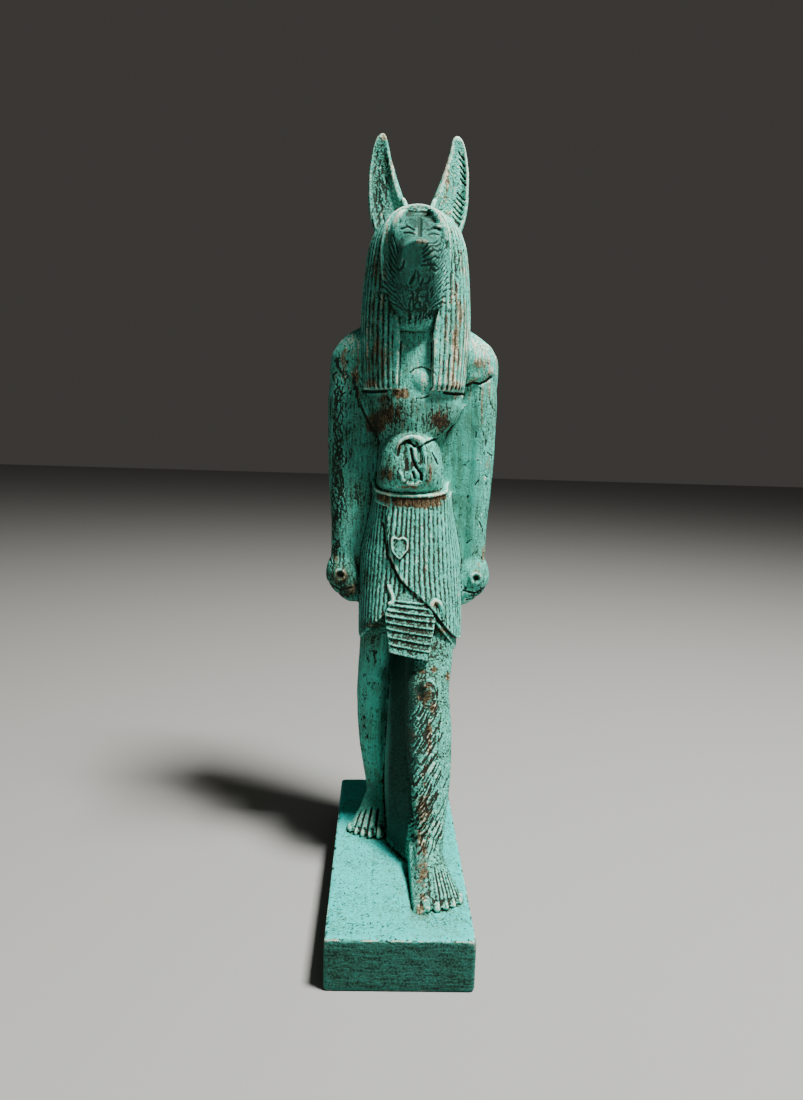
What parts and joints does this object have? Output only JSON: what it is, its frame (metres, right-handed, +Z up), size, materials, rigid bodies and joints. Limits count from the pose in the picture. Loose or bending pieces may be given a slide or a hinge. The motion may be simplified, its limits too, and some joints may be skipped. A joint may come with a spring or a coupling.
{
  "type": "anubis statue",
  "caption": "Striding jackal-headed figure with a long striated wig and pleated kilt, cast in one with its back pillar and oblong plinth.",
  "frame": {"origin": "middle of the plinth's underside", "axes": "+Z up, the figure's front faces -Y, +X is the side of its leading leg"},
  "size_m": [0.0699, 0.1288, 0.3008],
  "materials": {
    "verdigris_paint": "matt turquoise verdigris paint over dark brown, dark in the recesses and rubbed brown on the high points"
  },
  "bodies": {
    "root": {"anubis_statue": "verdigris_paint"}
  },
  "joints": []
}
